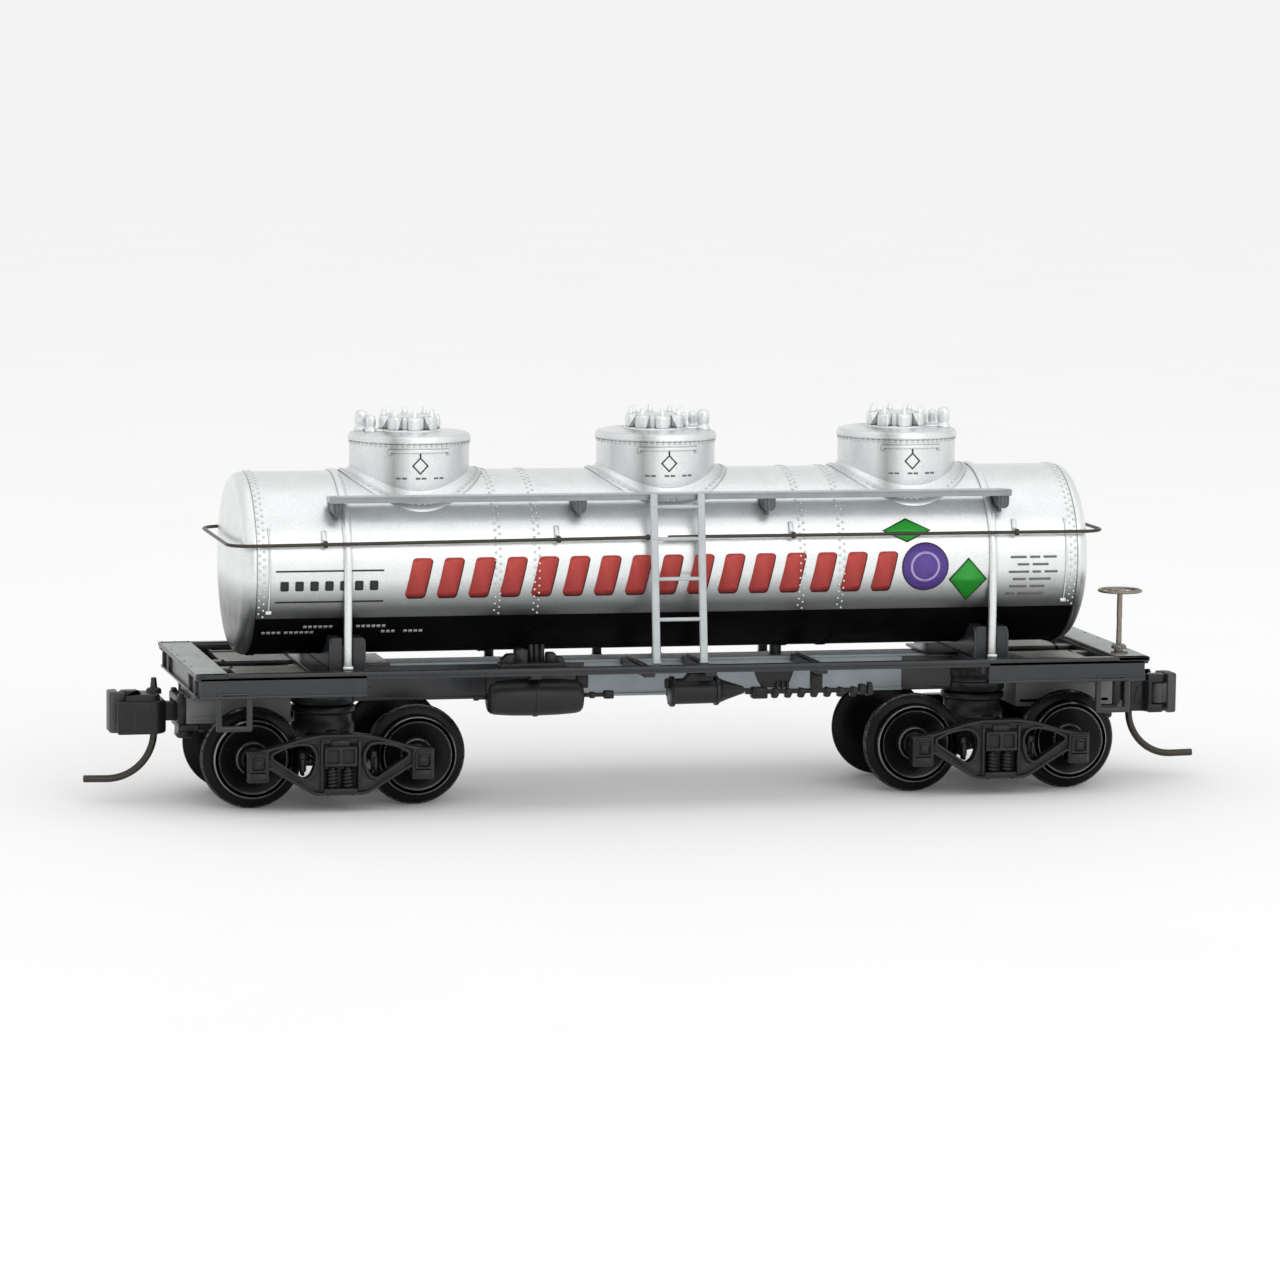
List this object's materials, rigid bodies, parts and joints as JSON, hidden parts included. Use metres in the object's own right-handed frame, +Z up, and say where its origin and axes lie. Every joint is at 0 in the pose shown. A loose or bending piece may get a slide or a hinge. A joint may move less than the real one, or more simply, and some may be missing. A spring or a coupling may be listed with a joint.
{
  "type": "model tank wagon",
  "caption": "Bogie tank wagon for 9 mm gauge model track: domed riveted tank on an open frame, swivelling trucks with turning wheelsets, and knuckle couplers with curved trip pins.",
  "frame": {"origin": "on the floor under the middle of the wagon, level with the lowest points of the wheel flanges", "axes": "+X along the wagon towards the end with the brake wheel, +Y to the side away from the brake gear, +Z up"},
  "size_m": [0.0772, 0.0172, 0.0258],
  "materials": {
    "black_plastic": "moulded black styrene, satin",
    "grey_casting": "blackened zinc casting, satin grey",
    "screw_steel": "bright steel",
    "pin_steel": "blackened steel",
    "silver_paint": "fine silver metallic paint over moulded styrene",
    "weight_steel": "plain steel ballast",
    "walkway_grey": "silver-grey paint over moulded styrene, satin",
    "wire_black": "blackened steel wire",
    "brake_black": "moulded black acetal, satin",
    "axle_steel": "blackened steel",
    "wheel_black": "moulded black acetal, treads polished by running",
    "spring_steel": "bright spring wire",
    "knuckle_grey": "moulded dark grey acetal, satin"
  },
  "bodies": {
    "wagon": {"underframe": "black_plastic", "stirrup_steps": "black_plastic", "pocket_lid_a": "black_plastic", "pocket_lid_b": "black_plastic", "tank_saddle_a": "black_plastic", "tank_saddle_b": "black_plastic", "air_reservoir": "black_plastic", "brake_cylinder": "black_plastic", "brake_valve": "black_plastic", "brake_rigging": "black_plastic", "centre_sill": "grey_casting", "coupler_pocket_a": "grey_casting", "coupler_pocket_b": "grey_casting", "pocket_screws": "screw_steel", "tank_screws": "screw_steel", "kingpin_a": "pin_steel", "kingpin_b": "pin_steel", "tank_barrel": "silver_paint", "tank_head_a": "silver_paint", "tank_head_b": "silver_paint", "dome_a": "silver_paint", "dome_mid": "silver_paint", "dome_b": "silver_paint", "dome_fittings_a": "silver_paint", "dome_fittings_mid": "silver_paint", "dome_fittings_b": "silver_paint", "tank_band_a": "silver_paint", "tank_band_b": "silver_paint", "handrail_stanchions": "silver_paint", "tank_weight": "weight_steel", "walkway_near": "walkway_grey", "walkway_far": "walkway_grey", "walkway_brackets": "walkway_grey", "ladder_near": "walkway_grey", "ladder_far": "walkway_grey", "handrail_a": "wire_black", "handrail_b": "wire_black", "brake_staff": "brake_black", "brake_wheel": "brake_black"},
    "truck_a": {"truck_frame_a": "black_plastic"},
    "truck_b": {"truck_frame_b": "black_plastic"},
    "wheelset_1": {"axle_1": "axle_steel", "wheel_pair_1": "wheel_black"},
    "wheelset_2": {"axle_2": "axle_steel", "wheel_pair_2": "wheel_black"},
    "wheelset_3": {"axle_3": "axle_steel", "wheel_pair_3": "wheel_black"},
    "wheelset_4": {"axle_4": "axle_steel", "wheel_pair_4": "wheel_black"},
    "coupler_a": {"coupler_head_a": "black_plastic", "coupler_spring_a": "spring_steel", "trip_pin_a": "wire_black", "knuckle_pin_a": "pin_steel"},
    "jaw_a": {"knuckle_a": "knuckle_grey"},
    "coupler_b": {"coupler_head_b": "black_plastic", "coupler_spring_b": "spring_steel", "trip_pin_b": "wire_black", "knuckle_pin_b": "pin_steel"},
    "jaw_b": {"knuckle_b": "knuckle_grey"}
  },
  "joints": [
    {"name": "truck_a_swivel", "type": "hinge", "parent": "wagon", "child": "truck_a", "pos_m": [-0.02244, 0, 0.0046], "axis": [0, 0, 1], "range_deg": [-10, 10]},
    {"name": "truck_b_swivel", "type": "hinge", "parent": "wagon", "child": "truck_b", "pos_m": [0.02244, 0, 0.0046], "axis": [0, 0, 1], "range_deg": [-10, 10]},
    {"name": "wheelset_1_spin", "type": "hinge", "parent": "truck_a", "child": "wheelset_1", "pos_m": [-0.02788, 0, 0.00335], "axis": [0, 1, 0], "continuous": true},
    {"name": "wheelset_2_spin", "type": "hinge", "parent": "truck_a", "child": "wheelset_2", "pos_m": [-0.017, 0, 0.00335], "axis": [0, 1, 0], "continuous": true},
    {"name": "wheelset_3_spin", "type": "hinge", "parent": "truck_b", "child": "wheelset_3", "pos_m": [0.017, 0, 0.00335], "axis": [0, 1, 0], "continuous": true},
    {"name": "wheelset_4_spin", "type": "hinge", "parent": "truck_b", "child": "wheelset_4", "pos_m": [0.02788, 0, 0.00335], "axis": [0, 1, 0], "continuous": true},
    {"name": "coupler_a_swing", "type": "hinge", "parent": "wagon", "child": "coupler_a", "pos_m": [-0.029, 0, 0.00598], "axis": [0, 0, 1], "range_deg": [-12, 12], "stiffness_Nm_per_rad": 0.0005},
    {"name": "knuckle_a_open", "type": "hinge", "parent": "coupler_a", "child": "jaw_a", "pos_m": [-0.03535, 0.00105, 0.00598], "axis": [0, 0, -1], "range_deg": [0, 25], "stiffness_Nm_per_rad": 0.0002, "springref_deg": -5.73},
    {"name": "coupler_b_swing", "type": "hinge", "parent": "wagon", "child": "coupler_b", "pos_m": [0.029, 0, 0.00598], "axis": [0, 0, 1], "range_deg": [-12, 12], "stiffness_Nm_per_rad": 0.0005},
    {"name": "knuckle_b_open", "type": "hinge", "parent": "coupler_b", "child": "jaw_b", "pos_m": [0.03535, -0.00105, 0.00598], "axis": [0, 0, -1], "range_deg": [0, 25], "stiffness_Nm_per_rad": 0.0002, "springref_deg": -5.73}
  ]
}
